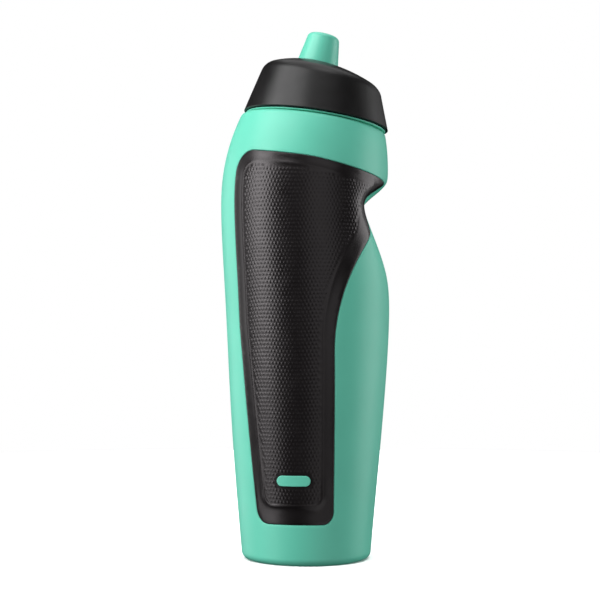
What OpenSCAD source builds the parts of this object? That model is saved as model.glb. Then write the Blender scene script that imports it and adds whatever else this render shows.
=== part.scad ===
// Sports squeeze bottle in millimetres: a blown body with a leaning neck and a thumb notch, two rubber side
// grips, a sloping screw cap and a push-pull spout. It stands on z = 0, its axis passes through the origin, the
// thumb notch and the lean face +X, and the XZ plane is its plane of symmetry.

/* [Body] */
// Length of the body along its centre line, from the base to the shoulder
body_h = 198.7; // [194:0.1:206]
// Radius just above the rounded base
base_r = 29.1; // [28:0.1:30]
// Radius at the belly
belly_r = 38.4; // [37.5:0.1:39.5]
// Height at which the body reaches its belly radius
belly_h = 156; // [146:1:164]
// Radius at the shoulder, under the cap
shoulder_r = 33.25; // [33:0.05:34]
// Height at which the shoulder starts to close in
shoulder_start = 158; // [150:1:166]
// Sharpness of the shoulder: larger values keep it full for longer
shoulder_power = 2.65; // [2:0.05:3.5]
// Rounding of the edge at the base
base_round = 3.2; // [2:0.1:4]
// Rounding of the shoulder's top edge
shoulder_round = 1.5; // [0.8:0.1:2]
// Thickness of the blown wall
wall = 1.8; // [1.6:0.1:2.4]

/* [Lean] */
// Angle between the neck and the vertical, in degrees
neck_lean = 8.2; // [4:0.1:10]
// Height at which the body starts to lean
lean_start = 160.6; // [150:0.1:170]
// How far the wall bows forward under the notch, and back behind it
sway = 0.77; // [0:0.01:1.5]
// Height of the first return of that bow to the axis
sway_h = 136.3; // [130:0.1:142]
// How much the bow is gathered towards the top
sway_power = 2.26; // [1.8:0.01:2.6]

/* [Thumb notch] */
// Distance from the centre line at which the notch's two flanks cross
notch_x = 23.8; // [22:0.1:28]
// Height at which the two flanks cross
notch_h = 162.5; // [158:0.5:164]
// Slope of the long lower flank, as depth per height
lower_flank = 0.43; // [0.38:0.01:0.5]
// Slope of the short upper flank
upper_flank = 1.6; // [1.4:0.05:2]
// Rounding between the two flanks
notch_round = 5.9; // [4:0.1:8]
// Rounding of the notch's border
notch_edge = 2.5; // [1.5:0.1:3]

/* [Grips] */
// Depth of the recess that holds each grip
recess = 0.9; // [0.6:0.05:1]
// How far a grip stands proud of the wall
grip_proud = 0.1; // [0.05:0.05:0.3]
// Length of the small inlay at the foot of each grip
inlay_l = 15; // [12:0.5:18]
// Height of that inlay
inlay_h = 4.6; // [3:0.2:7]
// Thickness of that inlay on the grip
inlay_t = 0.35; // [0.3:0.05:0.6]

/* [Neck] */
// How far the neck and the cap stand forward of the shoulder's middle
neck_shift = 0.9; // [0:0.1:1]
// Outer radius of the neck
neck_r = 24; // [23.8:0.1:24.2]
// Radius of the mouth
mouth_r = 21.6; // [20.6:0.1:22]
// Height of the neck above the shoulder
neck_h = 15; // [14.8:0.1:15.4]
// Radius of the thin flange under the cap
flange_r = 32.4; // [31:0.1:32.6]
// Lead of the single-start thread, per turn
lead = 4; // [4:0.1:4.4]
// Turns of thread on the neck and in the cap
thread_turns = 1.5; // [1:0.25:1.75]

/* [Cap] */
// Gap between the shoulder and the cap's rim, which the flange stands in
cap_gap = 1.5; // [1.5:0.05:2]
// Radius of the cap's rim
cap_r = 33.6; // [33.4:0.1:34.5]
// Height at which the line of the side wall would meet the line of the crown
cap_side_h = 20.4; // [20:0.1:22]
// Lean of the side wall, in degrees
cap_taper = 16.8; // [14:0.1:17]
// Slope of the crown at its outer edge, in degrees; it eases to level at the middle
crown_slope = 24; // [20:0.5:26]
// Radius of the crown's level middle
crown_flat_r = 3.3; // [2:0.1:5]
// Rounding between the side wall and the crown
cap_round = 6.7; // [5:0.1:7]
// How much taller the back of the cap is than its middle, as a share of the height
cap_wedge = 0.143; // [0.1:0.001:0.15]

/* [Spout] */
// Travel of the spout from shut to open
spout_travel = 6; // [4:0.5:7]
// Radius of the spout's foot
spout_foot_r = 9.65; // [9.5:0.05:10]
// Lean of the spout's side, in degrees
spout_taper = 9.8; // [9:0.1:10.2]
// Height of the spout
spout_h = 14.3; // [14:0.1:15]
// Rounding of the spout's top edge
spout_round = 2.2; // [1:0.1:2.4]
// Radius of the drinking hole
hole_r = 2.6; // [2:0.1:3]
// Outer radius of the valve tube that the spout slides on
tube_r = 6.2; // [6:0.05:6.2]
// Bore of the valve tube
tube_bore_r = 4.6; // [4.4:0.1:4.7]

/* [Hidden] */

mint = [0.42, 0.85, 0.72];
dark = [0.17, 0.17, 0.18];
rubber_dark = [0.12, 0.12, 0.13];
silicone = [0.85, 0.88, 0.86];
$fn = 96;

// Facets round the body, round the cap, and round one turn of thread
body_sides = 48;
cap_sides = 72;
turn_sides = 24;
overlap = 0.4;

// Base: a ring to stand on, round a raised centre
foot_r = base_r - base_round;
foot_w = 3.5;
push_up = 2.2;
push_up_r = foot_r - foot_w - 3;
floor_z = push_up + wall;

// Neck, from the shoulder up
neck_wall_mid = (neck_r + mouth_r) / 2;
neck_root = 3;
flange_z = 0.5;
flange_t = 0.65;
thread_z = 5.2;
ridge_h = 1.6;
ridge_root = 1.25;
ridge_crest = 0.6;
seal_t = 1.1;
seal_gap = 0.05;
deck_z = neck_h + seal_t + 2 * seal_gap;

// Cap
cap_bore_r = neck_r + 2.3;
cap_ridge_h = cap_bore_r - neck_r - 0.7;
cavity_r = neck_r - 2;
cavity_top_r = 10;
cavity_top = cap_side_h + 2.3;
skirt_r = cap_bore_r + 2.1;

// Valve, in its own frame: z = 0 lies on the cap's side height, and +Z is the spout's axis
valve_back = 3.4;
valve_lean = 4.2;
socket_r = 9.55;
socket_z = -4;
valve_seat = 2.3;
boss_r = 11;
boss_top = 4;
well_r = spout_foot_r + 0.3;
well_z = 5.4;
spout_foot = well_z + 0.3;
spout_top = spout_foot + spout_h;
spout_bore_r = tube_r + 0.4;
spout_roof = 2.2;
tube_top = spout_top - spout_roof - 1;
groove_z = tube_top - 3;
groove_w = 1.4;
groove_r = tube_r - 0.7;
o_ring_t = 0.5;

// Corners of a grip's outline on the wall, unrolled: [across from the side line, height, corner radius]
grip_corners = [
    [-27.6, 18.2, 7], [14.2, 18.2, 5.5], [10.6, 120, 72], [32.6, 147, 2], [32, 153, 5],
    [34.3, 161.5, 8], [51, 171, 1.5], [2, 179, 100], [-34.4, 181.6, 9], [-34.6, 105, 60]
];
// Radius at which that sheet is unrolled, and the middle from which its facets spread
unroll_r = 36;
grip_middle = [-8, 159];
inlay_middle = [-6.5, 37.5];
// Thickness of the glue under an inlay
inlay_gap = 0.1;

function smooth_max(a, b, k) = max(a, b) + k * ln(1 + exp(-abs(a - b) / k));
function smooth_min(a, b, k) = -smooth_max(-a, -b, k);
function steps(from, to, count) = [for (i = [0 : count]) from + (to - from) * i / count];

// ---- The body's wall, as a section across each point t of the centre line ----

function lean(t) = neck_lean * max(0, t - lean_start) / (body_h - lean_start);
bend_r = (body_h - lean_start) / (neck_lean * PI / 180);
function centre(t) = [
    sway * sin(180 * pow(t / sway_h, sway_power)) + bend_r * (1 - cos(lean(t))),
    0,
    min(t, lean_start) + bend_r * sin(lean(t))
];
function wall_r(t) =
    base_r + (belly_r - base_r) * sin(90 * min(1, t / belly_h))
    - (belly_r - shoulder_r) * pow(max(0, (t - shoulder_start) / (body_h - shoulder_start)), shoulder_power);
function flank(t) = notch_x + smooth_max(lower_flank * (notch_h - t), upper_flank * (t - notch_h), notch_round);
function section_r(t, a) =
    cos(a) < 0.05 ? wall_r(t) : smooth_min(wall_r(t), flank(t) / cos(a), notch_edge);
function on_wall(t, a, out) =
    centre(t) + (section_r(t, a) + out) * [cos(a) * cos(lean(t)), sin(a), -cos(a) * sin(lean(t))];
function body_ring(t, inset) =
    [for (i = [0 : body_sides - 1]) on_wall(t, 360 * i / body_sides, -inset)];

// Each pair is [position along the centre line, inset from the wall]
outer_steps = concat(
    [[push_up, base_r - push_up_r], [0, base_r - foot_r + foot_w]],
    [for (a = [0 : 30 : 60]) [base_round * (1 - cos(a)), base_round * (1 - sin(a))]],
    [for (t = steps(base_round, 116, 11)) [t, 0]],
    [for (t = steps(119.5, 186, 19)) [t, 0]],
    [for (t = steps(190, body_h - shoulder_round, 2)) [t, 0]],
    [for (a = [30 : 30 : 90]) [body_h - shoulder_round * (1 - sin(a)), shoulder_round * (1 - cos(a))]],
    [[body_h, shoulder_r - neck_wall_mid]]
);
inner_steps = concat(
    [[body_h - wall, shoulder_r - neck_wall_mid], [body_h - wall, wall + shoulder_round]],
    [for (t = steps(body_h - 2 * wall, 190, 1)) [t, wall]],
    [for (t = steps(184, 122, 12)) [t, wall]],
    [for (t = steps(112, floor_z + 3, 5)) [t, wall]],
    [[floor_z + 0.5, wall + 1.5], [floor_z, wall + 5]]
);

// ---- Solids built from rings and from outlines on the wall ----

// A closed skin through rings of equal count, from one pole to the other
module skin(rings, start, end) {
    n = len(rings[0]);
    last = len(rings) - 1;
    points = concat([for (ring = rings) each ring], [start, end]);
    pole = n * (last + 1);
    sides = [for (j = [0 : last - 1], i = [0 : n - 1])
        let (a = j * n + i, b = j * n + (i + 1) % n) each [[a, b + n, b], [a, a + n, b + n]]];
    caps = [for (i = [0 : n - 1])
        let (k = (i + 1) % n) each [[pole, i, k], [pole + 1, last * n + k, last * n + i]]];
    polyhedron(points, concat(sides, caps), 6);
}

function unit(v) = v / norm(v);
// The arc that rounds corner b between its neighbours a and c
function corner_arc(a, b, c, r) =
    let (u = unit(a - b), v = unit(c - b), half = acos(u * v) / 2, middle = b + unit(u + v) * r / sin(half),
         from = b + u * r / tan(half) - middle, to = b + v * r / tan(half) - middle,
         turn = atan2(cross(from, to), from * to), count = r > 20 ? 8 : 5)
    [for (s = steps(0, turn, count)) middle + [from.x * cos(s) - from.y * sin(s), from.x * sin(s) + from.y * cos(s)]];
function flat(p) = [p.x, p.y];
function rounded(corners) =
    let (n = len(corners))
    [for (i = [0 : n - 1])
        each corner_arc(flat(corners[(i + n - 1) % n]), flat(corners[i]), flat(corners[(i + 1) % n]), corners[i].z)];
// Long edges get more points, so that the sheet follows the wall
function fine(outline, longest) =
    let (n = len(outline))
    [for (i = [0 : n - 1])
        let (a = outline[i], b = outline[(i + 1) % n], count = ceil(norm(b - a) / longest))
        for (k = [0 : count - 1]) a + (b - a) * k / count];
function wall_point(p, out) = on_wall(p.y, p.x / unroll_r * 180 / PI - 90, out);

// A sheet that follows the wall inside an outline, from one offset to another
module sheet(outline, middle, rows, low, high) {
    n = len(outline);
    function layer(out) =
        [for (j = [1 : rows], p = outline) wall_point(middle + (p - middle) * j / rows, out)];
    points = concat([wall_point(middle, low)], layer(low), [wall_point(middle, high)], layer(high));
    top = n * rows + 1;
    rim = n * (rows - 1) + 1;
    function grid(base, flip) =
        [for (i = [0 : n - 1])
            let (k = (i + 1) % n)
            each concat(
                [flip ? [base, base + 1 + k, base + 1 + i] : [base, base + 1 + i, base + 1 + k]],
                [for (j = [0 : rows - 2])
                    let (a = base + 1 + j * n + i, b = base + 1 + j * n + k)
                    each flip ? [[a, b, b + n], [a, b + n, a + n]] : [[a, b + n, b], [a, a + n, b + n]]])];
    wall_faces = [for (i = [0 : n - 1])
        let (k = (i + 1) % n) each [[rim + i, top + rim + k, rim + k], [rim + i, top + rim + i, top + rim + k]]];
    polyhedron(points, concat(grid(0, false), grid(top, true), wall_faces), 6);
}

// ---- Frames ----

module on_neck() {
    translate(centre(body_h)) rotate([0, neck_lean, 0]) translate([neck_shift, 0, 0]) children();
}
module on_cap() {
    on_neck() translate([0, 0, cap_gap]) children();
}
module on_valve() {
    on_cap() translate([-valve_back, 0, cap_side_h]) rotate([0, valve_lean, 0]) children();
}

module ring(r, bore, h) {
    difference() {
        cylinder(r = r, h = h);
        translate([0, 0, -1]) cylinder(r = bore, h = h + 2);
    }
}

// One helical ridge, which fades in and out at its ends; out is 1 for an outer thread and -1 for an inner one
module thread_ridge(root_r, height, out) {
    count = ceil(thread_turns * turn_sides);
    function rise(i) = height * min(1, min(i, count - i) / 4);
    function at(i, r, z) =
        let (a = 360 * i / turn_sides) [r * cos(a), r * sin(a), z + lead * i / turn_sides];
    function profile(i) =
        let (inner = root_r - out * overlap, crest = root_r + out * max(0.05, rise(i)))
        [at(i, inner, -ridge_root), at(i, crest, -ridge_crest), at(i, crest, ridge_crest), at(i, inner, ridge_root)];
    points = [for (i = [0 : count]) each profile(i)];
    sides = [for (i = [0 : count - 1], k = [0 : 3])
        let (a = 4 * i + k, b = 4 * i + (k + 1) % 4) each [[a, b, b + 4], [a, b + 4, a + 4]]];
    end = 4 * count;
    ends = [[0, 2, 1], [0, 3, 2], [end, end + 1, end + 2], [end, end + 2, end + 3]];
    faces = concat(sides, ends);
    polyhedron(points, out > 0 ? faces : [for (f = faces) [f[0], f[2], f[1]]], 6);
}

// ---- Bottle ----

grip_outline = fine(rounded(grip_corners), 12);

module grip_sheet(low, high) {
    sheet(grip_outline, grip_middle, 8, low, high);
}

module neck() {
    translate([0, 0, -neck_root]) ring(neck_r, mouth_r, neck_h + neck_root);
    translate([0, 0, flange_z]) ring(flange_r, neck_wall_mid, flange_t);
    translate([0, 0, thread_z]) thread_ridge(neck_r, ridge_h, 1);
}

module bottle_body() {
    color(mint) difference() {
        union() {
            skin([for (s = concat(outer_steps, inner_steps)) body_ring(s.x, s.y)],
                 centre(0) + [0, 0, push_up], centre(floor_z));
            on_neck() neck();
        }
        grip_sheet(-recess, 2);
        mirror([0, 1, 0]) grip_sheet(-recess, 2);
    }
}

module left_grip() {
    color(rubber_dark) grip_sheet(-recess, grip_proud);
}
module right_grip() {
    color(rubber_dark) mirror([0, 1, 0]) grip_sheet(-recess, grip_proud);
}

module inlay() {
    half = inlay_l / 2 - inlay_h / 2;
    outline = [for (side = [0, 1], a = [-90 : 20 : 90])
        inlay_middle + [(side ? -1 : 1) * (half + inlay_h / 2 * cos(a)), (side ? -1 : 1) * inlay_h / 2 * sin(a)]];
    sheet(outline, inlay_middle, 2, grip_proud + inlay_gap, grip_proud + inlay_t);
}
module left_inlay() {
    color(mint) inlay();
}
module right_inlay() {
    color(mint) mirror([0, 1, 0]) inlay();
}

// ---- Cap and valve ----

module cap_seal() {
    color(silicone) on_neck() translate([0, 0, neck_h + seal_gap]) ring(cap_bore_r - 0.3, mouth_r + 0.3, seal_t);
}

// The cap's profile before the wedge: [radius, height], from the rim to the middle. The crown is a dome whose
// slope falls evenly from crown_slope at its outer edge to nothing at its level middle.
cap_top_r = cap_r - cap_side_h * tan(cap_taper);
cap_turn = 90 - cap_taper - crown_slope;
cap_tangent = cap_round * tan(cap_turn / 2);
round_start = [cap_top_r, cap_side_h] + cap_tangent * [sin(cap_taper), -cos(cap_taper)];
round_middle = round_start - cap_round * [cos(cap_taper), sin(cap_taper)];
dome_start = round_middle + cap_round * [sin(crown_slope), cos(crown_slope)];
dome_w = dome_start.x - crown_flat_r;
function dome(r) = dome_start.y + tan(crown_slope) * (pow(dome_w, 2) - pow(r - crown_flat_r, 2)) / (2 * dome_w);
cap_profile = concat(
    [for (s = [0 : 0.25 : 0.75]) [cap_r, 0] + s * (round_start - [cap_r, 0])],
    [for (s = steps(0, cap_turn, 6)) round_middle + cap_round * [cos(cap_taper + s), sin(cap_taper + s)]],
    [for (r = steps(22, crown_flat_r, 5)) [r, dome(r)]]
);

function wedged(x, y, z) = [x, y, z * (1 - cap_wedge * x / cap_r)];

module crown() {
    skin([for (p = cap_profile)
            [for (i = [0 : cap_sides - 1])
                wedged(p.x * cos(360 * i / cap_sides), p.x * sin(360 * i / cap_sides), p.y)]],
         [0, 0, 0], wedged(0, 0, dome(crown_flat_r)));
}

// Space inside the cap: the neck's bore, the cavity above the deck, and a groove that thins the skirt
module cap_hollow() {
    deck = deck_z - cap_gap;
    translate([0, 0, -1]) cylinder(r = cap_bore_r, h = deck + 1);
    translate([0, 0, deck - 0.5]) cylinder(r1 = cavity_r, r2 = cavity_top_r, h = cavity_top - deck + 0.5);
    rotate_extrude() polygon([
        [skirt_r, -1], [cap_r - 2, -1], [cap_r - 2, 0], [skirt_r + 1, 6.5], [skirt_r, 6.5]
    ]);
}

module cap_shell() {
    color(dark) difference() {
        union() {
            on_cap() difference() {
                crown();
                cap_hollow();
            }
            // Half a turn of lead below the neck's ridge, so that the two threads mesh
            on_neck() translate([0, 0, thread_z - lead / 2]) thread_ridge(cap_bore_r, cap_ridge_h, -1);
            on_valve() {
                translate([0, 0, socket_z]) cylinder(r = boss_r, h = boss_top - socket_z);
                cylinder(r = tube_r, h = tube_top);
            }
        }
        on_valve() {
            // The shallow well that the spout's foot stands in
            translate([0, 0, well_z]) ring(well_r, tube_r, 6);
            translate([0, 0, socket_z - 3]) cylinder(r = socket_r, h = valve_seat - socket_z + 3);
            cylinder(r = tube_bore_r, h = tube_top + 1);
            translate([0, 0, groove_z]) difference() {
                cylinder(r = tube_r + 1, h = groove_w);
                cylinder(r = groove_r, h = groove_w);
            }
        }
    }
}

// The fixed post that shuts the drinking hole, on three arms inside the tube
module valve_plug() {
    post_r = hole_r - 0.1;
    hub_z = 8;
    hub_h = 4;
    hub_r = tube_bore_r - 0.05;
    color(dark) on_valve() {
        translate([0, 0, hub_z]) {
            ring(hub_r, hub_r - 0.9, hub_h);
            cylinder(r = post_r, h = spout_top - 0.8 - hub_z);
            translate([0, 0, spout_top - 0.8 - hub_z]) cylinder(r1 = post_r, r2 = post_r - 0.5, h = 0.5);
            for (a = [0 : 120 : 240]) rotate([0, 0, a]) translate([post_r / 2, -0.6, 0.5])
                cube([hub_r - 0.45 - post_r / 2, 1.2, hub_h - 1]);
        }
    }
}

module spout_o_ring() {
    color(rubber_dark) on_valve() translate([0, 0, groove_z + groove_w / 2])
        rotate_extrude() translate([spout_bore_r - 0.05 - o_ring_t, 0]) circle(r = o_ring_t, $fn = 32);
}

// Soft membrane with crossed slits, which opens when the bottle is squeezed
module flow_valve() {
    slit = 0.3;
    color(silicone) on_valve() difference() {
        rotate_extrude() polygon([
            [0, -0.8], [3.6, -0.4], [5.4, 1.1], [socket_r - 0.25, 1.1],
            [socket_r - 0.25, 2.2], [5, 2.2], [3.4, 0.4], [0, 0]
        ]);
        for (a = [0, 90]) rotate([0, 0, a]) translate([-3, -slit / 2, -2]) cube([6, slit, 4]);
    }
}

module valve_retainer() {
    bore = 7;
    color(dark) on_valve() translate([0, 0, socket_z + 1]) rotate_extrude() polygon([
        [bore + 0.6, 0], [socket_r - 0.7, 0], [socket_r - 0.1, 0.6], [socket_r - 0.1, 4], [bore, 4], [bore, 0.6]
    ]);
}

module spout() {
    top_r = spout_foot_r - spout_h * tan(spout_taper);
    fall = [sin(spout_taper), -cos(spout_taper)];
    tangent = spout_round * tan((90 - spout_taper) / 2);
    from = [top_r, spout_h] + tangent * fall;
    middle = from - spout_round * [cos(spout_taper), sin(spout_taper)];
    color(mint) on_valve() translate([0, 0, spout_foot]) difference() {
        rotate_extrude() polygon(concat(
            [[0, 0], [spout_foot_r - 0.5, 0], [spout_foot_r - 0.05, 0.5]],
            [for (a = steps(spout_taper, 90, 6)) middle + spout_round * [cos(a), sin(a)]],
            [[0, spout_h]]));
        translate([0, 0, -1]) cylinder(r = spout_bore_r, h = spout_h - spout_roof + 1);
        cylinder(r = hole_r, h = spout_h + 1);
    }
}

bottle_body();
left_grip();
right_grip();
left_inlay();
right_inlay();
cap_seal();
cap_shell();
valve_plug();
spout_o_ring();
flow_valve();
valve_retainer();
spout();
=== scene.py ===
"""Sports squeeze bottle: the looks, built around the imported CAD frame.

Shapes are worked out in millimetres from the same formulas as the CAD. mesh_object turns them into metres.
The thumb notch and the lean face +X, and the left grip is on the -Y side, which the camera sees.
"""
import math

import bmesh
import bpy
import numpy as np
from mathutils import Matrix, Vector
from mathutils.geometry import delaunay_2d_cdt


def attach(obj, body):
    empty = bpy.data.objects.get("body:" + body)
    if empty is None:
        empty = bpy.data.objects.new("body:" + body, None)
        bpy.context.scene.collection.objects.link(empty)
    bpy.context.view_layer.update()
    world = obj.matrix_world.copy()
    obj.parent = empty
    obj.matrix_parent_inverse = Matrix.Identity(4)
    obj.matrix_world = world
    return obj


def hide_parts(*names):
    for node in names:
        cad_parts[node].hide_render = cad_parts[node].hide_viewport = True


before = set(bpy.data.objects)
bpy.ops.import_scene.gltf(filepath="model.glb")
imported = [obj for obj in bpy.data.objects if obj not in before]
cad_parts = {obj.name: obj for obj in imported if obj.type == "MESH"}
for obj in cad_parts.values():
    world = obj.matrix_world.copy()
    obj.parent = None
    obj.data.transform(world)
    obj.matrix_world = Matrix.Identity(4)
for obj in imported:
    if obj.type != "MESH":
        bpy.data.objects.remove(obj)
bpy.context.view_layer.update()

MM = 0.001
# Points closer than these are merged, in millimetres: in plain meshes, in fine ones and after a carve
WELD, FINE_WELD, CARVE_WELD = 0.001, 0.0001, 0.003

# ---- Body: section radii across the centre line, from the foot (t = 0) to the shoulder (t = BODY_H) ----
BODY_H = 198.7
BASE_R, BELLY_R, SHOULDER_R = 29.1, 38.4, 33.25
BELLY_H, SHOULDER_START, SHOULDER_POWER = 156, 158, 2.65
BASE_ROUND, SHOULDER_ROUND, WALL = 3.2, 1.5, 1.8
FOOT_W, PUSH_UP = 3.5, 2.2
NECK_LEAN, LEAN_START = math.radians(8.2), 160.6
SWAY, SWAY_H, SWAY_POWER = 0.77, 136.3, 2.26
NOTCH_X, NOTCH_H, LOWER_FLANK, UPPER_FLANK = 23.8, 162.5, 0.43, 1.6
NOTCH_ROUND, NOTCH_EDGE = 5.9, 2.5
BODY_SIDES = 192
# The notch is left out where the wall turns further away from it than this cosine
FACING_MIN = 0.05

# ---- Neck and cap ----
NECK_SHIFT, NECK_R, MOUTH_R, NECK_H = 0.9, 24, 21.6, 15
FLANGE_R, FLANGE_Z, FLANGE_T = 32.4, 0.5, 0.65
THREAD_Z, LEAD, THREAD_TURNS = 5.2, 4, 1.5
SEAL_ROOM = 1.2
CAP_GAP, CAP_R, CAP_SIDE_H, CAP_TAPER = 1.5, 33.6, 20.4, math.radians(16.8)
CROWN_SLOPE, CROWN_FLAT_R, CAP_ROUND = math.radians(24), 3.3, 6.7
CAP_WEDGE = 0.143
CAP_BORE_R, SKIRT_R, CAVITY_R, CAVITY_TOP_R = 26.3, 28.4, 22, 10
CAVITY_TOP = CAP_SIDE_H + 2.3
DECK_Z = NECK_H + SEAL_ROOM - CAP_GAP
VALVE_BACK, VALVE_LEAN = 3.4, math.radians(4.2)

# ---- Valve and spout, in the valve's own frame ----
SOCKET_R, SOCKET_Z, VALVE_SEAT = 9.55, -4, 2.3
BOSS_R, BOSS_TOP, WELL_R, WELL_Z = 11, 4, 9.95, 5.4
SPOUT_FOOT, SPOUT_H, SPOUT_FOOT_R, SPOUT_TAPER = 5.7, 14.3, 9.65, math.radians(9.8)
SPOUT_ROUND, SPOUT_ROOF, HOLE_R, SPOUT_BORE_R = 2.2, 2.2, 2.6, 6.6
TUBE_R, TUBE_BORE_R = 6.2, 4.6
TUBE_TOP = SPOUT_FOOT + SPOUT_H - SPOUT_ROOF - 1
GROOVE_Z, GROOVE_W, GROOVE_R = TUBE_TOP - 3, 1.4, 5.5
VALVE_SIDES = 128

# ---- Grips: outlines on the wall, unrolled at UNROLL_R ----
# Each corner is (distance across from the side line, height, corner radius)
UNROLL_R = 36
GRIP_CORNERS = [(-27.6, 18.2, 7), (14.2, 18.2, 5.5), (10.6, 120, 72), (32.6, 147, 2), (32, 153, 5),
                (34.3, 161.5, 8), (51, 171, 1.5), (2, 179, 100), (-34.4, 181.6, 9), (-34.6, 105, 60)]
FIELD_CORNERS = [(-21.3, 27.2, 4.5), (7.4, 27.2, 3.5), (5.4, 122, 72), (22.6, 147, 3), (24.3, 153, 6),
                 (29.8, 166, 12), (33.8, 168, 1.5), (2, 173.9, 95), (-28.6, 176, 5.5), (-28.5, 105, 60)]
OUTLINE_STEP = 0.6
# The recess in the wall, the rounding of its rim, and the gap and rounding at the rubber's own edge
RECESS, RIM_ROUND, GRIP_GAP, GRIP_ROUND = 0.9, 0.45, 0.08, 0.4
# The bead round the dotted field and the valley beyond it, as heights at distances outside the field
VALLEY, CREST = -0.26, 0.2
BEAD_OUT = [0, 0.2, 0.4, 0.65, 1.0, 1.4, 1.9, 2.5, 3.2]
BEAD_HEIGHT = [0, 0.55 * CREST, 0.9 * CREST, CREST, 0.75 * CREST, 0, 0.5 * VALLEY, 0.85 * VALLEY, VALLEY]
# How much of bead and valley is lost above the grip's foot and towards the notch, and between which places
RISING_LOSS, RISING_RANGE = 0.65, (26, 44)
FRONT_LOSS, FRONT_RANGE = 0.7, (8, 20)
DOT_PITCH, DOT_ROW, FIRST_DOT, LAST_DOT = 1.6, 1.68, (-45, 28.3), (45, 180)
DOT_HALF_W, DOT_HALF_H, DOT_RISE = 0.6, 0.76, 0.12
# Least distance from a dot's middle to the field's outline, and to the clear margin round the inlay
DOT_INSET, DOT_CLEAR, INLAY_MARGIN = 0.85, 0.75, 0.8
# The strip just inside the field's outline that no dot lifts
FIELD_EDGE = 0.3
# Loose points between bead and edge lie at least this far outside the field and inside the grip
FILLER_OUT, FILLER_IN = 3.6, 1.2
INLAY_MIDDLE, INLAY_L, INLAY_H, INLAY_T = (-6.5, 37.5), 15, 4.6, 0.35
GRIP_PROUD = 0.1

# ---- Studio, in metres, and its lens in millimetres ----
FLOOR_R = 0.7
CAMERA_X, CAMERA_AWAY, CAMERA_H, CAMERA_AIM_H = -0.00284, 0.6205, 0.09225, 0.1175
LENS, SENSOR_W = 81, 36


def smooth_max(a, b, k):
    return np.maximum(a, b) + k * np.log1p(np.exp(-np.abs(a - b) / k))


def smooth_step(low, high, x):
    s = np.clip((x - low) / (high - low), 0, 1)
    return s * s * (3 - 2 * s)


# ---- The body's wall ----

def lean(t):
    return NECK_LEAN * np.maximum(0, t - LEAN_START) / (BODY_H - LEAN_START)


def centre(t):
    bend_r = (BODY_H - LEAN_START) / NECK_LEAN
    x = SWAY * np.sin(np.pi * (np.maximum(t, 0) / SWAY_H) ** SWAY_POWER) + bend_r * (1 - np.cos(lean(t)))
    return np.stack([x, 0 * x, np.minimum(t, LEAN_START) + bend_r * np.sin(lean(t))], -1)


def wall_r(t):
    rise = np.sin(np.pi / 2 * np.minimum(1, t / BELLY_H))
    fall = np.maximum(0, (t - SHOULDER_START) / (BODY_H - SHOULDER_START)) ** SHOULDER_POWER
    return BASE_R + (BELLY_R - BASE_R) * rise - (BELLY_R - SHOULDER_R) * fall


def section_r(t, a):
    """Radius at height t and azimuth a: the round wall, cut by the notch's two flanks."""
    flank = NOTCH_X + smooth_max(LOWER_FLANK * (NOTCH_H - t), UPPER_FLANK * (t - NOTCH_H), NOTCH_ROUND)
    facing = np.maximum(np.cos(a), FACING_MIN)
    cut = -smooth_max(-wall_r(t), -flank / facing, NOTCH_EDGE)
    return np.where(np.cos(a) < FACING_MIN, wall_r(t), cut)


def on_wall(t, a, out=0.0):
    """Points at t and a, moved straight out from the centre line."""
    t, a = np.broadcast_arrays(np.asarray(t, float), np.asarray(a, float))
    way = np.stack([np.cos(a) * np.cos(lean(t)), np.sin(a), -np.cos(a) * np.sin(lean(t))], -1)
    return centre(t) + (section_r(t, a) + out)[..., None] * way


def proud_of_wall(t, a, height):
    """Points at t and a, moved along the wall's own normal."""
    small = 0.02
    along = on_wall(t + small, a) - on_wall(t - small, a)
    across = on_wall(t, a + small / UNROLL_R) - on_wall(t, a - small / UNROLL_R)
    normal = np.cross(across, along)
    normal /= np.linalg.norm(normal, axis=-1, keepdims=True)
    return on_wall(t, a) + np.asarray(height)[..., None] * normal


# The wall is worked on as a flat map (s, t), where s is the arc from the side line in real millimetres

def map_to_azimuth(points):
    return points[:, 0] / wall_r(points[:, 1]) - np.pi / 2


def unrolled_to_map(points):
    return np.stack([points[:, 0] * wall_r(points[:, 1]) / UNROLL_R, points[:, 1]], -1)


def map_to_unrolled(points):
    return np.stack([points[:, 0] * UNROLL_R / wall_r(points[:, 1]), points[:, 1]], -1)


# ---- Outlines ----

def corner_arc(before, corner, after, radius, spacing):
    u = (before - corner) / np.linalg.norm(before - corner)
    v = (after - corner) / np.linalg.norm(after - corner)
    half = math.acos(float(u @ v)) / 2
    middle = corner + (u + v) / np.linalg.norm(u + v) * radius / math.sin(half)
    start = corner + u * radius / math.tan(half) - middle
    end = corner + v * radius / math.tan(half) - middle
    turn = math.atan2(start[0] * end[1] - start[1] * end[0], float(start @ end))
    count = max(4, round(abs(turn) * radius / spacing))
    s = np.linspace(0, turn, count + 1)[:, None]
    return middle + start * np.cos(s) + np.array([-start[1], start[0]]) * np.sin(s)


def rounded_outline(corners, spacing):
    """A closed outline on the map, with points about spacing apart."""
    flat = np.array([c[:2] for c in corners], float)
    n = len(corners)
    loop = np.concatenate([corner_arc(flat[i - 1], flat[i], flat[(i + 1) % n], corners[i][2], spacing)
                           for i in range(n)])
    dense = []
    for a, b in zip(loop, np.roll(loop, -1, 0)):
        steps = max(1, round(np.linalg.norm(b - a) / spacing))
        dense += [a + (b - a) * k / steps for k in range(steps)]
    return unrolled_to_map(np.array(dense))


def offset_outline(loop, out):
    """The outline moved outwards along its normals."""
    tangent = np.roll(loop, -1, 0) - np.roll(loop, 1, 0)
    tangent /= np.linalg.norm(tangent, axis=1, keepdims=True)
    return loop + out * np.stack([tangent[:, 1], -tangent[:, 0]], -1)


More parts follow.
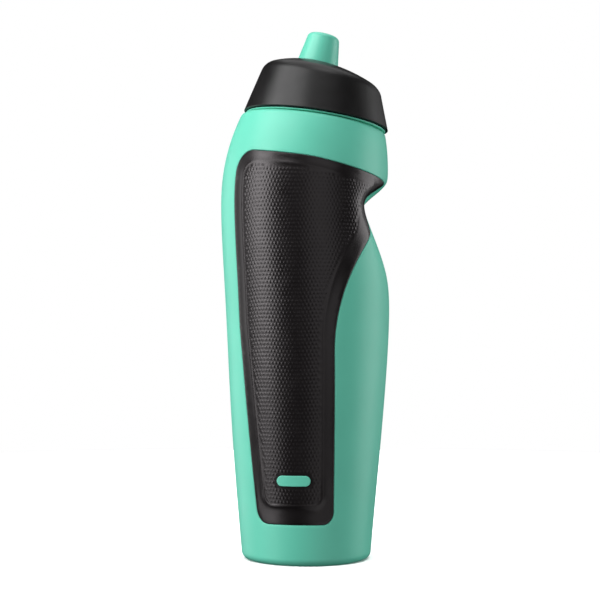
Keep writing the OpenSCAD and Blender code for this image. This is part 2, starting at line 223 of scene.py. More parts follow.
def inside_outline(points, loop):
    a, b = loop, np.roll(loop, -1, 0)
    inside = np.zeros(len(points), bool)
    for (x0, y0), (x1, y1) in zip(a, b):
        if y0 == y1:
            continue
        crosses = (y0 > points[:, 1]) != (y1 > points[:, 1])
        at = x0 + (points[:, 1] - y0) * (x1 - x0) / (y1 - y0)
        inside ^= crosses & (points[:, 0] < at)
    return inside


def distance_to(points, loop):
    """Signed distance to the outline, negative inside."""
    nearest = np.full(len(points), np.inf)
    for a, b in zip(loop, np.roll(loop, -1, 0)):
        edge = b - a
        share = np.clip(((points - a) @ edge) / (edge @ edge), 0, 1)
        gap = points - a - share[:, None] * edge
        nearest = np.minimum(nearest, (gap ** 2).sum(1))
    return np.where(inside_outline(points, loop), -1, 1) * np.sqrt(nearest)


def staggered(low, high, pitch, row):
    """Points in rows, every other row moved by half a pitch."""
    points = []
    for j, y in enumerate(np.arange(low[1], high[1], row)):
        x = np.arange(low[0] + (j % 2) * pitch / 2, high[0], pitch)
        points.append(np.stack([x, np.full(len(x), y)], -1))
    return np.concatenate(points)


def triangulate(loops, loose, lines=()):
    """A triangle net through closed loops, open lines and loose points, all on the map."""
    points, edges = [], []
    start = 0
    for chain, closed in [(loop, True) for loop in loops] + [(line, False) for line in lines]:
        n = len(chain)
        edges += [(start + i, start + (i + 1) % n) for i in range(n if closed else n - 1)]
        points.append(chain)
        start += n
    points = map_to_unrolled(np.concatenate(points + [loose]))
    verts, _, faces, _, _, _ = delaunay_2d_cdt([Vector(p) for p in points], edges, [], 0, 1e-5)
    return unrolled_to_map(np.array([tuple(v) for v in verts])), np.array(faces)


# ---- Meshes ----

def ring_faces(rings, sides, close_start=False, close_end=False):
    """Faces between rings of equal count; a closed end fans to one more point, start before end."""
    faces = []
    for j in range(rings - 1):
        for i in range(sides):
            k = (i + 1) % sides
            faces.append((j * sides + i, j * sides + k, (j + 1) * sides + k, (j + 1) * sides + i))
    pole = rings * sides
    if close_start:
        faces += [(pole, (i + 1) % sides, i) for i in range(sides)]
        pole += 1
    if close_end:
        last = (rings - 1) * sides
        faces += [(pole, last + i, last + (i + 1) % sides) for i in range(sides)]
    return faces


def joined(parts):
    """One point list and one face list from several (points, faces) pairs."""
    points, faces, start = [], [], 0
    for part_points, part_faces in parts:
        points.append(np.asarray(part_points, float).reshape(-1, 3))
        faces += [tuple(int(v) + start for v in face) for face in part_faces]
        start += len(points[-1])
    return np.concatenate(points), faces


def clean(mesh, weld):
    """Merges points closer than weld millimetres, drops loose ones and turns every face outwards."""
    net = bmesh.new()
    net.from_mesh(mesh)
    bmesh.ops.remove_doubles(net, verts=net.verts, dist=weld * MM)
    bmesh.ops.delete(net, geom=[e for e in net.edges if not e.link_faces], context="EDGES")
    bmesh.ops.delete(net, geom=[v for v in net.verts if not v.link_faces], context="VERTS")
    bmesh.ops.recalc_face_normals(net, faces=net.faces)
    net.to_mesh(mesh)
    net.free()


def mesh_object(name, points, faces, weld=WELD):
    mesh = bpy.data.meshes.new(name)
    mesh.from_pydata((np.asarray(points) * MM).tolist(), [], [tuple(int(v) for v in f) for f in faces])
    clean(mesh, weld)
    piece = bpy.data.objects.new(name, mesh)
    bpy.context.scene.collection.objects.link(piece)
    return piece


def finish_piece(piece, material, body, replaced, sharp):
    """Smooths a piece up to the sharp angle in degrees, gives it its material, hangs it under its body and
    hides the CAD node it stands in for.
    """
    mesh = piece.data
    mesh.shade_smooth()
    mesh.set_sharp_from_angle(angle=math.radians(sharp))
    mesh.materials.clear()
    mesh.materials.append(material)
    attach(piece, body)
    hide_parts(replaced)
    return piece


def mirrored(points):
    return points * np.array([1, -1, 1])


# ---- Frames of the neck, the cap and the valve ----

def neck_frame():
    x, _, z = centre(np.array(BODY_H))
    middle = Matrix.Translation((x, 0, z)) @ Matrix.Rotation(NECK_LEAN, 4, "Y")
    return middle @ Matrix.Translation((NECK_SHIFT, 0, 0))


def cap_frame():
    return neck_frame() @ Matrix.Translation((0, 0, CAP_GAP))


def valve_frame():
    seat = Matrix.Translation((-VALVE_BACK, 0, CAP_SIDE_H))
    return cap_frame() @ seat @ Matrix.Rotation(VALVE_LEAN, 4, "Y")


def placed(points, place):
    m = np.array(place)
    return np.asarray(points) @ m[:3, :3].T + m[:3, 3]


def revolved(profile, sides, place):
    """A solid of rings round Z from (radius, height) pairs, with its last ring joined to its first."""
    a = np.linspace(0, 2 * np.pi, sides, endpoint=False)
    rings = [np.stack([r * np.cos(a), r * np.sin(a), np.full(sides, float(z))], -1) for r, z in profile]
    rings.append(rings[0])
    return placed(np.concatenate(rings), place), ring_faces(len(rings), sides)


def arc(middle, radius, start, end, count):
    """Points of an arc from one angle to another, in degrees, as (across, up) pairs."""
    return [(middle[0] + radius * math.cos(math.radians(s)), middle[1] + radius * math.sin(math.radians(s)))
            for s in np.linspace(start, end, count + 1)]


def thread(root_r, height, out, z, place):
    """A helical ridge that fades in and out. out is 1 for an outer thread and -1 for an inner one."""
    per_turn, fade, sink = 96, 16, 0.4
    count = round(THREAD_TURNS * per_turn)
    points = []
    for i in range(count + 1):
        rise = height * max(0.02, math.sin(math.pi / 2 * min(1, min(i, count - i) / fade)))
        a = 2 * math.pi * i / per_turn
        section = [(-sink, -1.25), (0, -1.15), (0.8 * rise, -0.7), (rise, -0.45),
                   (rise, 0.45), (0.8 * rise, 0.7), (0, 1.15), (-sink, 1.25)]
        for up, along in section:
            r = root_r + out * up
            points.append((r * math.cos(a), r * math.sin(a), z + along + LEAD * i / per_turn))
    n = len(section)
    faces = ring_faces(count + 1, n) + [tuple(range(n)), tuple(range(count * n, count * n + n))]
    return placed(points, place), faces


# ---- Materials ----

# What a noise texture mostly stays between
NOISE_LOW, NOISE_HIGH = 0.3, 0.7


def new_material(name, colour, roughness, **constants):
    """A Principled material. Returns the material, its nodes, its links and its shader."""
    material = bpy.data.materials.new(name)
    material.use_nodes = True
    nodes, links = material.node_tree.nodes, material.node_tree.links
    shader = nodes["Principled BSDF"]
    shader.inputs["Base Color"].default_value = (*colour, 1)
    shader.inputs["Roughness"].default_value = roughness
    for socket, value in constants.items():
        shader.inputs[socket.replace("_", " ")].default_value = value
    return material, nodes, links, shader


def noise(nodes, links, patch_mm, detail=3.0):
    place = nodes.get("Place") or nodes.new("ShaderNodeTexCoord")
    place.name = "Place"
    texture = nodes.new("ShaderNodeTexNoise")
    texture.inputs["Scale"].default_value = 1 / (patch_mm * MM)
    texture.inputs["Detail"].default_value = detail
    links.new(place.outputs["Object"], texture.inputs["Vector"])
    return texture.outputs["Fac"]


def vary_colour(nodes, links, shader, source, low, high):
    ramp = nodes.new("ShaderNodeValToRGB")
    ramp.color_ramp.elements[0].position = NOISE_LOW
    ramp.color_ramp.elements[0].color = (*low, 1)
    ramp.color_ramp.elements[1].position = NOISE_HIGH
    ramp.color_ramp.elements[1].color = (*high, 1)
    links.new(source, ramp.inputs["Fac"])
    links.new(ramp.outputs["Color"], shader.inputs["Base Color"])


def vary_roughness(nodes, links, shader, source, low, high):
    span = nodes.new("ShaderNodeMapRange")
    span.inputs["From Min"].default_value = NOISE_LOW
    span.inputs["From Max"].default_value = NOISE_HIGH
    span.inputs["To Min"].default_value = low
    span.inputs["To Max"].default_value = high
    links.new(source, span.inputs["Value"])
    links.new(span.outputs["Result"], shader.inputs["Roughness"])


def add_bump(nodes, links, shader, source, height_mm):
    bump = nodes.new("ShaderNodeBump")
    bump.inputs["Distance"].default_value = height_mm * MM
    bump.inputs["Strength"].default_value = 1.0
    links.new(source, bump.inputs["Height"])
    links.new(bump.outputs["Normal"], shader.inputs["Normal"])


def shade(colour, factor):
    return tuple(c * factor for c in colour)


def moulded(name, colour, roughness, spread=0.03, grain_mm=0.5, grain_height=0.01, **constants):
    """Moulded plastic or rubber: slight mottling, uneven gloss and a fine skin texture."""
    mottle_mm, gloss_mm, uneven = 25, 6.25, 0.03
    material, nodes, links, shader = new_material(name, colour, roughness, **constants)
    mottling, gloss = noise(nodes, links, mottle_mm), noise(nodes, links, gloss_mm)
    vary_colour(nodes, links, shader, mottling, shade(colour, 1 - spread), shade(colour, 1 + spread))
    vary_roughness(nodes, links, shader, gloss, roughness - uneven, roughness + uneven)
    add_bump(nodes, links, shader, noise(nodes, links, grain_mm, 2.0), grain_height)
    return material


MINT = (0.17, 0.76, 0.56)
mint_plastic = moulded("mint_plastic", MINT, 0.42, grain_mm=0.7, grain_height=0.012, Specular_IOR_Level=0.42)
mint_gloss = moulded("mint_spout_plastic", MINT, 0.36, grain_mm=0.6, grain_height=0.006)
grip_rubber = moulded("grip_rubber", (0.0085, 0.007, 0.0075), 0.31, spread=0.12, grain_mm=0.35,
                      grain_height=0.008, Specular_IOR_Level=0.55, Specular_Tint=(1, 0.94, 0.96, 1))
cap_plastic = moulded("cap_plastic", (0.008, 0.0074, 0.0078), 0.38, spread=0.08, grain_mm=0.5,
                      grain_height=0.004, Specular_IOR_Level=0.42)
silicone = moulded("clear_silicone", (0.62, 0.68, 0.65), 0.4, grain_mm=0.8)
ring_rubber = moulded("ring_rubber", (0.012, 0.012, 0.012), 0.55, grain_mm=0.4)


# ---- Bottle body ----

GRIP_LOOP = rounded_outline(GRIP_CORNERS, OUTLINE_STEP)
FIELD_LOOP = rounded_outline(FIELD_CORNERS, OUTLINE_STEP)
# Rings of the recess's rim: (distance outside the grip's outline, height)
RIM_RINGS = [(RIM_ROUND * (1 - math.sin(math.radians(s))), RIM_ROUND * (math.cos(math.radians(s)) - 1))
             for s in (0, 20, 40, 60, 75, 90)]
SEAM_W, SEAM_RISE = 0.3, 0.05
# The wall's net: how far it reaches across, and a finer one round the notch, from its lower left corner up
NET_REACH, NOTCH_CORNER, NOTCH_TOP = 60, (12, 141), 184


def body_half():
    """The half of the outer wall on the -Y side, from the foot's rounding to the shoulder's."""
    low, high = BASE_ROUND, BODY_H - SHOULDER_ROUND
    half = np.pi / 2
    ends = np.linspace(-half, half, BODY_SIDES // 2 + 1)

    def level(t):
        return np.stack([ends * wall_r(np.full(len(ends), t)), np.full(len(ends), t)], -1)

    def upright(share_in):
        t = np.arange(low + 1.5, high - 0.5, 1.2)
        return [np.stack([side * (half * wall_r(t) - share_in), t], -1) for side in (-1, 1)]

    coarse = staggered((-NET_REACH, low + 1.2), (NET_REACH, high - 0.8), 1.7, 1.5)
    fine = staggered(NOTCH_CORNER, (NET_REACH, NOTCH_TOP), 0.75, 0.65)
    notch_x, notch_t = NOTCH_CORNER
    near_notch = (coarse[:, 0] > notch_x - 0.5) & (coarse[:, 1] > notch_t - 0.5)
    near_notch &= coarse[:, 1] < NOTCH_TOP + 0.3
    loose = np.concatenate([coarse[~near_notch], fine])
    off_seam, off_rim, off_floor = 0.4, 0.35, 0.9
    loose = loose[np.abs(loose[:, 0]) < half * wall_r(loose[:, 1]) - SEAM_W - off_seam]
    gap = distance_to(loose, GRIP_LOOP)
    loose = loose[(gap > RIM_ROUND + off_rim) | (gap < -off_floor)]
    loops = [offset_outline(GRIP_LOOP, out) for out, _ in RIM_RINGS]
    floor_loop = offset_outline(GRIP_LOOP, -0.02)
    lines = upright(0) + upright(SEAM_W)
    points, faces = triangulate(loops + [floor_loop], np.concatenate([loose, level(low), level(high)]), lines)
    gap = distance_to(points, GRIP_LOOP)
    outs, heights = zip(*reversed(RIM_RINGS))
    height = np.where(gap < -0.01, -RECESS, np.interp(gap, outs, heights))
    height = np.where(half * wall_r(points[:, 1]) - np.abs(points[:, 0]) < 0.05, SEAM_RISE, height)
    height = height * smooth_step(low, low + 1, points[:, 1]) * smooth_step(-high, 1 - high, -points[:, 1])
    return proud_of_wall(points[:, 1], map_to_azimuth(points), height), faces


def body_rings():
    """Everything of the body that goes round: shoulder, flange, neck, mouth, inside, and the foot."""
    a = np.linspace(0, 2 * np.pi, BODY_SIDES, endpoint=False)

    def wall_ring(t, inset):
        return on_wall(np.full(BODY_SIDES, float(t)), a, -inset)

    def neck_ring(r, z):
        ring = np.stack([r * np.cos(a), r * np.sin(a), np.full(BODY_SIDES, float(z))], -1)
        return placed(ring, neck_frame())

    shoulder = [wall_ring(BODY_H - SHOULDER_ROUND * (1 - math.sin(s)), SHOULDER_ROUND * (1 - math.cos(s)))
                for s in np.radians(np.linspace(0, 90, 9))]
    flange_top = FLANGE_Z + FLANGE_T
    neck = [(NECK_R + 0.5, 0), (NECK_R + 0.15, 0.1), (NECK_R, 0.4), (NECK_R, FLANGE_Z)]
    neck += [(FLANGE_R - 0.2, FLANGE_Z)]
    neck += arc((FLANGE_R - 0.3, FLANGE_Z + 0.3), 0.3, -60, 0, 4)
    neck += arc((FLANGE_R - 0.3, flange_top - 0.3), 0.3, 0, 90, 5)
    neck += arc((NECK_R + 0.5, flange_top + 0.5), 0.5, 270, 180, 5)
    neck += arc((NECK_R - 0.8, NECK_H - 0.8), 0.8, 0, 90, 6)
    neck += arc((MOUTH_R + 0.6, NECK_H - 0.6), 0.6, 90, 180, 5)
    neck += [(MOUTH_R, 8), (MOUTH_R, 0)] + arc((MOUTH_R + 0.9, -0.9), 0.9, 180, 270, 5)
    top = [neck_ring(r, z) for r, z in neck]
    inner_top = BODY_H - WALL - SHOULDER_ROUND
    inside = [wall_ring(inner_top + SHOULDER_ROUND * math.cos(s), WALL + SHOULDER_ROUND * (1 - math.sin(s)))
              for s in np.radians(np.linspace(0, 90, 6))]
    floor_t = PUSH_UP + WALL
    inside += [wall_ring(t, WALL) for t in np.linspace(inner_top - 3, floor_t + 4, 60)]
    inside += [wall_ring(floor_t + 4 * (1 - math.sin(s)), WALL + 4 * (1 - math.cos(s)))
               for s in np.radians(np.linspace(10, 90, 8))]
    inside += [wall_ring(floor_t + rise, WALL + inset) for inset, rise in [(8, 0), (14, 0.2), (20, 0.5)]]
    upper = shoulder + top + inside
    upper_points = np.concatenate(upper + [centre(np.array([floor_t + 0.6]))])
    foot = [wall_ring(BASE_ROUND * (1 - math.sin(s)), BASE_ROUND * (1 - math.cos(s)))
            for s in np.radians(np.linspace(0, 90, 13))]
    in_w = 4.5
    foot += [wall_ring(0.0, BASE_ROUND + w) for w in (1.2, 2.4, FOOT_W)]
    foot += [wall_ring(PUSH_UP * float(smooth_step(0, 1, s)), BASE_ROUND + FOOT_W + in_w * s)
             for s in np.linspace(0.1, 1, 10)]
    foot += [wall_ring(PUSH_UP + 0.25 * s, BASE_ROUND + FOOT_W + in_w + 15 * s) for s in (0.25, 0.5, 0.75)]
    foot_points = np.concatenate(foot + [centre(np.array([PUSH_UP + 0.3]))])
    return [(upper_points, ring_faces(len(upper), BODY_SIDES, close_end=True)),
            (foot_points, ring_faces(len(foot), BODY_SIDES, close_end=True))]


def pinch_off():
    """The ridge that the mould leaves across the foot's hollow."""
    length, width, rise = 24, 0.7, 0.45
    x = np.linspace(-length / 2, length / 2, 25)
    points = []
    for value in x:
        ease = math.sqrt(max(0.0, 1 - (2 * value / length) ** 2))
        for y, z in [(-width / 2, 0.5), (-width / 2 * 0.6, -rise * ease), (width / 2 * 0.6, -rise * ease),
                     (width / 2, 0.5)]:
            points.append((value, y, PUSH_UP + 0.25 + z))
    faces = ring_faces(len(x), 4) + [(0, 1, 2, 3), tuple(len(x) * 4 - 4 + i for i in range(4))]
    return points, faces


def bottle_body():
    points, faces = body_half()
    parts = [(points, faces), (mirrored(points), faces)] + body_rings()
    parts.append(thread(NECK_R, 1.6, 1, THREAD_Z, neck_frame()))
    parts.append(pinch_off())
    piece = mesh_object("moulded_body", *joined(parts))
    return finish_piece(piece, mint_plastic, "bottle", "bottle_body", sharp=50)


# ---- Grips and inlays ----

def grip_height(points):
    """Height of the rubber's face: a rounded edge, a valley, and a raised bead round the dotted field."""
    inset = -distance_to(points, GRIP_LOOP)
    beyond = distance_to(points, FIELD_LOOP)
    edge = np.sqrt(np.clip(1 - ((GRIP_ROUND - inset + GRIP_GAP) / GRIP_ROUND).clip(0, 1) ** 2, 0, 1))
    height = GRIP_PROUD / 2 - GRIP_ROUND * (1 - edge)
    from_edge, from_bead = (inset - GRIP_ROUND).clip(0), (beyond - BEAD_OUT[-1]).clip(0)
    share = from_edge / (from_edge + from_bead + 1e-6)
    relief = 1 - RISING_LOSS * smooth_step(*RISING_RANGE, points[:, 1])
    relief = relief * (1 - FRONT_LOSS * smooth_step(*FRONT_RANGE, points[:, 0]))
    height = height + (VALLEY * relief - GRIP_PROUD / 2) * smooth_step(0, 1, share)
    bead = relief * np.interp(beyond, BEAD_OUT, BEAD_HEIGHT)
    return np.where(beyond < 0, 0, np.where(beyond < BEAD_OUT[-1], bead, height))


def pill_loop(middle, length, height, count=12):
    """A pill's outline, from its right end round. Its sides go in short steps, to follow the wall."""
    half, steps = (length - height) / 2, 16
    upper = arc((half, 0), height / 2, 0, 90, count // 2)
    upper += [(half * (1 - 2 * s / steps), height / 2) for s in range(1, steps)]
    upper += arc((-half, 0), height / 2, 90, 180, count // 2)
    lower = [(x, -y) for x, y in reversed(upper[1:-1])]
    return np.array(upper + lower) + np.asarray(middle)


def ladder_faces(start, count):
    """Faces straight across a closed ring whose lower half mirrors its upper half."""
    rungs = [(i, i + 1, count - i - 1, (count - i) % count) for i in range(count // 2)]
    return [tuple(start + i for i in dict.fromkeys(rung)) for rung in rungs]


def dot_middles():
    """The dots' middles: the field's rows, kept clear of its outline and of the inlay."""
    middles = staggered(FIRST_DOT, LAST_DOT, DOT_PITCH, DOT_ROW)
    middles = middles[distance_to(middles, FIELD_LOOP) < -DOT_INSET]
    inlay_middle = unrolled_to_map(np.array([INLAY_MIDDLE]))[0]
    moat = pill_loop(inlay_middle, INLAY_L + INLAY_MARGIN, INLAY_H + INLAY_MARGIN)
    return middles[distance_to(middles, moat) > DOT_CLEAR]


def dot_height(points, middles):
    """How far the dots lift each point: a low dome over every middle, and nothing between them."""
    left, low = FIRST_DOT
    row = np.round((points[:, 1] - low) / DOT_ROW)
    shift = (row % 2) * DOT_PITCH / 2
    nearest = np.round((points[:, 0] - left - shift) / DOT_PITCH) * DOT_PITCH + left + shift
    away = np.hypot((points[:, 0] - nearest) / DOT_HALF_W, (points[:, 1] - low - row * DOT_ROW) / DOT_HALF_H)
    kept = {(round(x, 3), round(y, 3)) for x, y in middles}
    has_dot = np.array([(round(x, 3), round(low + r * DOT_ROW, 3)) in kept for x, r in zip(nearest, row)])
    in_field = distance_to(points, FIELD_LOOP) < -FIELD_EDGE
    return np.where(in_field & has_dot, DOT_RISE * np.cos(np.pi / 2 * away.clip(0, 1)), 0)


def grip_net():
    """The grip's face on the map: its points, its triangles and each point's height."""
    middles = dot_middles()
    around = np.radians(np.arange(0, 360, 45))
    ring = np.stack([DOT_HALF_W * np.cos(around), DOT_HALF_H * np.sin(around)], -1)
    dots = [middles] + [(middles[:, None] + ring * share).reshape(-1, 2) for share in (0.55, 1)]
    filler = staggered((-45, 16), (50, 186), 1.6, 1.4)
    past_bead = distance_to(filler, FIELD_LOOP) > FILLER_OUT
    off_edge = distance_to(filler, GRIP_LOOP) < -FILLER_IN
    filler = filler[past_bead & off_edge]
    insets = [GRIP_GAP + GRIP_ROUND * (1 - math.cos(math.radians(s))) for s in (0, 25, 45, 65, 90)]
    loops = [offset_outline(GRIP_LOOP, -inset) for inset in insets]
    loops += [offset_outline(FIELD_LOOP, out) for out in BEAD_OUT]
    points, faces = triangulate(loops, np.concatenate(dots + [filler]))
    mids = points[faces].mean(1)
    faces = faces[inside_outline(mids, offset_outline(GRIP_LOOP, 0.01 - GRIP_GAP))]
    return points, faces, grip_height(points) + dot_height(points, middles)


def grip_solid():
    points, faces, height = grip_net()
    azimuth = map_to_azimuth(points)
    top = proud_of_wall(points[:, 1], azimuth, height)
    under = proud_of_wall(points[:, 1], azimuth, np.full(len(points), 0.02 - RECESS))
    n = len(points)
    edges = np.sort(np.concatenate([faces[:, [0, 1]], faces[:, [1, 2]], faces[:, [2, 0]]]), axis=1)
    rim, counts = np.unique(edges, axis=0, return_counts=True)
    rim = rim[counts == 1]
    sides = [(a, b, b + n, a + n) for a, b in rim]
    return np.concatenate([top, under]), [*faces.tolist(), *(faces + n).tolist(), *sides]


def grip(name, solid, side, node):
    points, faces = solid
    piece = mesh_object(name, points if side == "left" else mirrored(points), faces, FINE_WELD)
    return finish_piece(piece, grip_rubber, "bottle", node, sharp=60)


def inlay(name, side, node):
    """A small plain pill with a rounded edge, in the clear spot among the dots."""
    middle = unrolled_to_map(np.array([INLAY_MIDDLE]))[0]
    edge = 0.2
    profile = [(0, 0.0), (0, INLAY_T - edge)]
    profile += [(edge * (1 - math.cos(s)), INLAY_T - edge * (1 - math.sin(s)))
                for s in np.radians([25, 50, 70, 90])]
    profile += [(inset, INLAY_T) for inset in (0.7, 1.3, 1.9)]
    rings = []
    for inset, height in profile:
        loop = pill_loop(middle, INLAY_L - 2 * inset, INLAY_H - 2 * inset, 16)
        rings.append(proud_of_wall(loop[:, 1], map_to_azimuth(loop), np.full(len(loop), height)))
    sides = len(rings[0])
    faces = ring_faces(len(rings), sides) + ladder_faces(0, sides)
    faces += ladder_faces((len(rings) - 1) * sides, sides)
    points = np.concatenate(rings)
    piece = mesh_object(name, points if side == "left" else mirrored(points), faces, FINE_WELD)
    return finish_piece(piece, mint_gloss, "bottle", node, sharp=60)


# ---- Cap ----

CAP_TOP_R = CAP_R - CAP_SIDE_H * math.tan(CAP_TAPER)


def cap_outside():
    """(radius, height) pairs of the cap's outside before it is wedged, from the rim to the crown's middle."""
    turn = math.pi / 2 - CAP_TAPER - CROWN_SLOPE
    tangent = CAP_ROUND * math.tan(turn / 2)
    start = (CAP_TOP_R + tangent * math.sin(CAP_TAPER), CAP_SIDE_H - tangent * math.cos(CAP_TAPER))
    middle = (start[0] - CAP_ROUND * math.cos(CAP_TAPER), start[1] - CAP_ROUND * math.sin(CAP_TAPER))
    tilt = math.degrees(CAP_TAPER)
    side = [(CAP_R + s * (start[0] - CAP_R), s * start[1]) for s in np.linspace(0.03, 0.95, 12)]
    edge = arc(middle, CAP_ROUND, tilt, tilt + math.degrees(turn), 16)
    dome_w = edge[-1][0] - CROWN_FLAT_R
    dome = [(CROWN_FLAT_R + s * dome_w, edge[-1][1] + math.tan(CROWN_SLOPE) * dome_w * (1 - s * s) / 2)
            for s in np.linspace(0.95, 0, 20)]
    return side + edge + dome


def cap_body():
    bottom = [(CAP_R - 1.2, 0.0), (CAP_R - 0.55, 0.0), (CAP_R - 0.25, 0.1), (CAP_R - 0.08, 0.3)]
    outer = bottom + cap_outside()
    inner = [(CAP_R - 2, 0.25), (SKIRT_R + 1, 6.5), (SKIRT_R, 6.5), (SKIRT_R, 0.3), (SKIRT_R - 0.3, 0),
             (CAP_BORE_R + 0.3, 0), (CAP_BORE_R, 0.3), (CAP_BORE_R, DECK_Z), (CAVITY_R, DECK_Z),
             (CAVITY_TOP_R, CAVITY_TOP)]
    a = np.linspace(0, 2 * np.pi, BODY_SIDES, endpoint=False)

    def ring(r, z, wedged):
        x, y = r * np.cos(a), r * np.sin(a)
        if not wedged:
            return np.stack([x, y, np.full(BODY_SIDES, float(z))], -1)
        return np.stack([x, y, z * (1 - CAP_WEDGE * x / CAP_R)], -1)

    rings = [ring(r, z, False) for r, z in reversed(inner)] + [ring(r, z, True) for r, z in outer]
    poles = [(0, 0, CAVITY_TOP), (0, 0, outer[-1][1])]
    points = placed(np.concatenate(rings + [poles]), cap_frame())
    return points, ring_faces(len(rings), BODY_SIDES, close_start=True, close_end=True)


def carve(piece, tool, operation):
    """Joins or cuts one closed mesh with another, and removes the tool."""
    modifier = piece.modifiers.new("carve", "BOOLEAN")
    modifier.operation, modifier.solver, modifier.object = operation, "EXACT", tool
    graph = bpy.context.evaluated_depsgraph_get()
    carved = bpy.data.meshes.new_from_object(piece.evaluated_get(graph))
    piece.modifiers.clear()
    clean(carved, CARVE_WELD)
    piece.data = carved
    bpy.data.objects.remove(tool)


def cap_cutters():
    """What is carved into the cap or joined to it, in order: (name, points and faces, operation).

    Each one overlaps what it meets, and none ends flush with it, so that every carve leaves a closed mesh.
    """
    place = valve_frame()
    core_r, clear = TUBE_R - 0.8, 2
    well = [(core_r, WELL_Z)] + arc((WELL_R - 0.3, WELL_Z + 0.3), 0.3, 270, 360, 5)
    well += [(WELL_R, WELL_Z + 6), (core_r, WELL_Z + 6)]
    boss = [(0, SOCKET_Z), (BOSS_R, SOCKET_Z), (BOSS_R, BOSS_TOP), (TUBE_R, BOSS_TOP), (TUBE_R, GROOVE_Z),
            (GROOVE_R, GROOVE_Z), (GROOVE_R, GROOVE_Z + GROOVE_W), (TUBE_R, GROOVE_Z + GROOVE_W),
            (TUBE_R, TUBE_TOP - 0.4), (TUBE_R - 0.4, TUBE_TOP), (0, TUBE_TOP)]
    hole = [(0, SOCKET_Z - 3), (SOCKET_R, SOCKET_Z - 3), (SOCKET_R, VALVE_SEAT), (TUBE_BORE_R, VALVE_SEAT),
            (TUBE_BORE_R, TUBE_TOP - 0.3), (TUBE_BORE_R + 0.3 + clear, TUBE_TOP + clear),
            (0, TUBE_TOP + clear)]
    ridge = thread(CAP_BORE_R, CAP_BORE_R - NECK_R - 0.7, -1, THREAD_Z - LEAD / 2, neck_frame())
    return [("well", revolved(well, VALVE_SIDES, place), "DIFFERENCE"),
            ("boss", revolved(boss, VALVE_SIDES, place), "UNION"),
            ("hole", revolved(hole, VALVE_SIDES, place), "DIFFERENCE"),
            ("ridge", ridge, "UNION")]


def cap_shell():
    piece = mesh_object("cap_moulding", *cap_body())
    for name, solid, operation in cap_cutters():
        carve(piece, mesh_object(name, *solid), operation)
    return finish_piece(piece, cap_plastic, "cap", "cap_shell", sharp=30)


# ---- Spout ----

def spout():
    top_r = SPOUT_FOOT_R - SPOUT_H * math.tan(SPOUT_TAPER)
    tilt = math.degrees(SPOUT_TAPER)
    tangent = SPOUT_ROUND * math.tan((math.pi / 2 - SPOUT_TAPER) / 2)
    start = (top_r + tangent * math.sin(SPOUT_TAPER), SPOUT_H - tangent * math.cos(SPOUT_TAPER))
    middle = (start[0] - SPOUT_ROUND * math.cos(SPOUT_TAPER), start[1] - SPOUT_ROUND * math.sin(SPOUT_TAPER))
    foot = [(SPOUT_BORE_R + 0.3, 0)] + arc((SPOUT_FOOT_R - 0.5, 0.4), 0.4, -90, 0, 6)
    side = [(start[0] + (SPOUT_FOOT_R - 0.17 - start[0]) * (1 - s), 0.9 + (start[1] - 0.9) * s)
            for s in np.linspace(0, 0.94, 8)]
    roof = SPOUT_H - SPOUT_ROOF
    lip = arc((HOLE_R + 0.5, SPOUT_H - 0.5), 0.5, 90, 180, 6)
    inside = [(HOLE_R, roof + 0.3), (HOLE_R + 0.3, roof), (SPOUT_BORE_R, roof), (SPOUT_BORE_R, 0.3)]
    profile = foot + side + arc(middle, SPOUT_ROUND, tilt, 90, 14) + lip + inside
    profile = [(r, z + SPOUT_FOOT) for r, z in profile]
    piece = mesh_object("drinking_spout", *revolved(profile, VALVE_SIDES, valve_frame()))
    return finish_piece(piece, mint_gloss, "nozzle", "spout", sharp=40)


# ---- Studio ----

def stage():
    """A round pale table that throws back no light and casts no shadow. It is returned to be lit."""
    mesh = bpy.data.meshes.new("floor")
    net = bmesh.new()
    bmesh.ops.create_circle(net, cap_ends=True, segments=128, radius=FLOOR_R)
    net.to_mesh(mesh)
    net.free()
    floor = bpy.data.objects.new("floor", mesh)
    bpy.context.scene.collection.objects.link(floor)
    mesh.materials.append(new_material("pale_floor", (0.9, 0.9, 0.9), 0.7, Specular_IOR_Level=0.2)[0])
    floor.visible_diffuse = floor.visible_glossy = floor.visible_shadow = False
    return floor


def area_light(name, place, aim, width, height, radiance):
    """A soft box. Radiance is in watts per square metre and steradian, whatever its size."""
    light = bpy.data.lights.new(name, "AREA")
    light.shape = "RECTANGLE"
    light.size, light.size_y, light.energy = width, height, radiance * math.pi * width * height
    lamp = bpy.data.objects.new(name, light)
    lamp.location = place
    lamp.rotation_euler = (Vector(aim) - Vector(place)).to_track_quat("-Z", "Y").to_euler()
    bpy.context.scene.collection.objects.link(lamp)
    return lamp


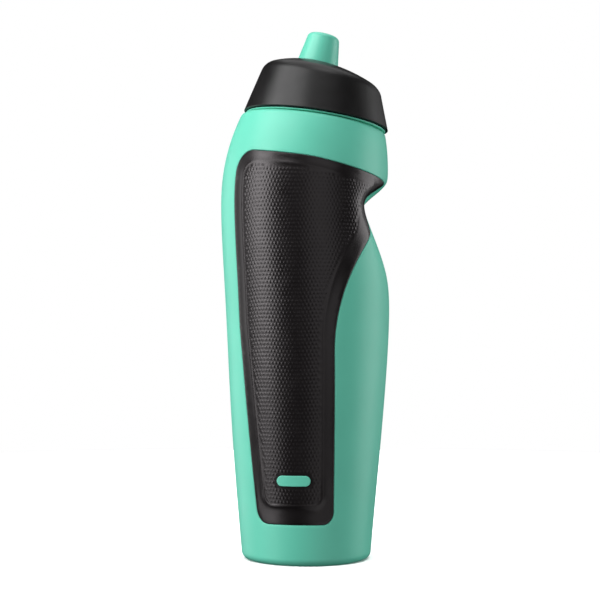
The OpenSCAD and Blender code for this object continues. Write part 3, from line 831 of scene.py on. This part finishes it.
def studio(floor):
    """White surroundings that only the camera sees, soft keys from the left, and weaker light all round.

    table_bounce and low_key stand for the light that a pale table would throw back. table_light falls on the
    table alone.
    """
    world = bpy.data.worlds.new("studio")
    world.use_nodes = True
    world.node_tree.nodes["Background"].inputs["Color"].default_value = (1, 1, 1, 1)
    world.node_tree.nodes["Background"].inputs["Strength"].default_value = 1.0
    bpy.context.scene.world = world
    world.cycles_visibility.diffuse = False
    world.cycles_visibility.glossy = False
    bpy.context.scene.view_settings.view_transform = "Standard"
    aim = (0, 0, 0.12)
    area_light("left_key", (-0.78, -0.385, 0.33), aim, 0.42, 0.62, 5.4)
    area_light("high_key", (-0.54, -0.36, 0.82), aim, 1.0, 0.3, 5.0)
    area_light("left_back", (-0.76, 0.44, 0.12), aim, 0.6, 0.7, 1.4)
    area_light("right_side", (0.9, 0.15, 0.16), aim, 0.6, 0.75, 2.6)
    area_light("right_back", (0.7, 0.6, 0.3), aim, 0.6, 0.9, 0.3)
    area_light("front_fill", (0.6, -1.5, 0.35), aim, 1.2, 1.2, 0.6)
    area_light("high_fill", (0.2, -0.5, 1.25), aim, 0.7, 0.5, 2.4)
    area_light("table_bounce", (0.5, -0.6, -0.55), aim, 1.0, 0.7, 0.65)
    area_light("low_key", (-0.76, -0.42, -0.2), aim, 0.46, 0.42, 1.6)
    area_light("overhead", (0.05, 0.15, 1.0), aim, 0.9, 0.9, 1.1)
    table_light = area_light("table_light", (0, 0, 1.5), (0, 0, 0), 2.8, 2.8, 2.6)
    only_floor = bpy.data.collections.new("lit_by_table_light")
    only_floor.objects.link(floor)
    table_light.light_linking.receiver_collection = only_floor


def camera():
    """Low and close, aimed slightly up at the bottle's side."""
    place = Vector((CAMERA_X, -CAMERA_AWAY, CAMERA_H))
    aim = Vector((CAMERA_X, 0, CAMERA_AIM_H))
    data = bpy.data.cameras.new("camera")
    data.lens, data.sensor_width = LENS, SENSOR_W
    lens = bpy.data.objects.new("camera", data)
    lens.location = place
    lens.rotation_euler = (aim - place).to_track_quat("-Z", "Y").to_euler()
    bpy.context.scene.collection.objects.link(lens)
    bpy.context.scene.camera = lens


def dress_frame():
    looks = {"cap_seal": silicone, "flow_valve": silicone, "spout_o_ring": ring_rubber,
             "valve_plug": cap_plastic, "valve_retainer": cap_plastic}
    for node, material in looks.items():
        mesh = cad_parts[node].data
        mesh.materials.clear()
        mesh.materials.append(material)


camera()
studio(stage())
dress_frame()
bottle_body()
rubber = grip_solid()
grip("left_grip_rubber", rubber, "left", "left_grip")
grip("right_grip_rubber", rubber, "right", "right_grip")
inlay("left_inlay_pill", "left", "left_inlay")
inlay("right_inlay_pill", "right", "right_inlay")
cap_shell()
spout()
